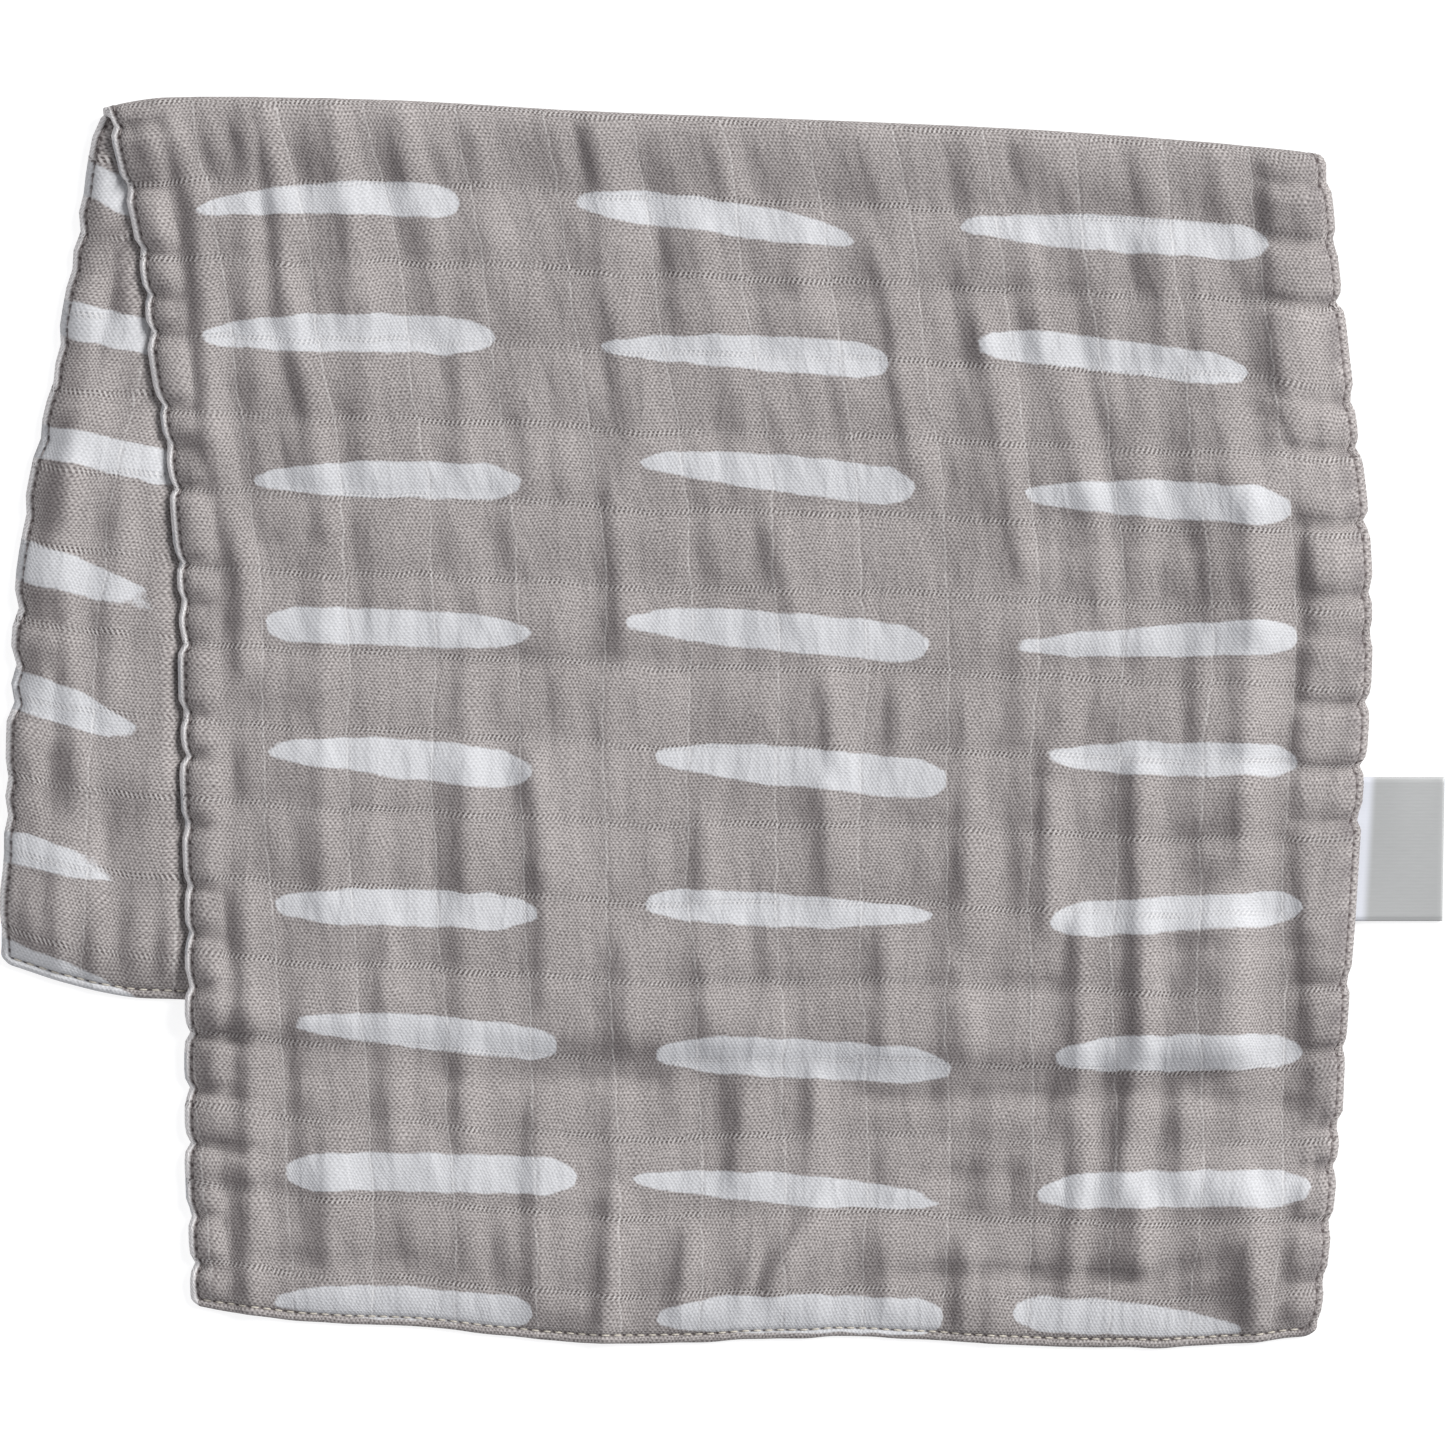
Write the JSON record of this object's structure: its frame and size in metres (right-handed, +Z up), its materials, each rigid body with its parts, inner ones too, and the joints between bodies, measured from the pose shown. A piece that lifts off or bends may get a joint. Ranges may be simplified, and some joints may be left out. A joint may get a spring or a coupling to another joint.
{
  "type": "burp cloth",
  "caption": "Rectangular muslin burp cloth folded over once and lying flat, with a printed dash pattern, a top-stitched edge and a small bare satin tab in one side seam.",
  "frame": {"origin": "middle of the folded cloth's footprint, on the surface that it rests on", "axes": "+X to the right along the fold, towards the tab; +Y across the surface from the hems towards the fold; +Z up from the surface"},
  "size_m": [0.3446, 0.2984, 0.0092],
  "materials": {
    "muslin": "soft layered gauze, warm grey with white printed dashes",
    "satin_tape": "silver-white woven satin, bare"
  },
  "bodies": {
    "root": {"cloth": "muslin", "label": "satin_tape"}
  },
  "joints": []
}
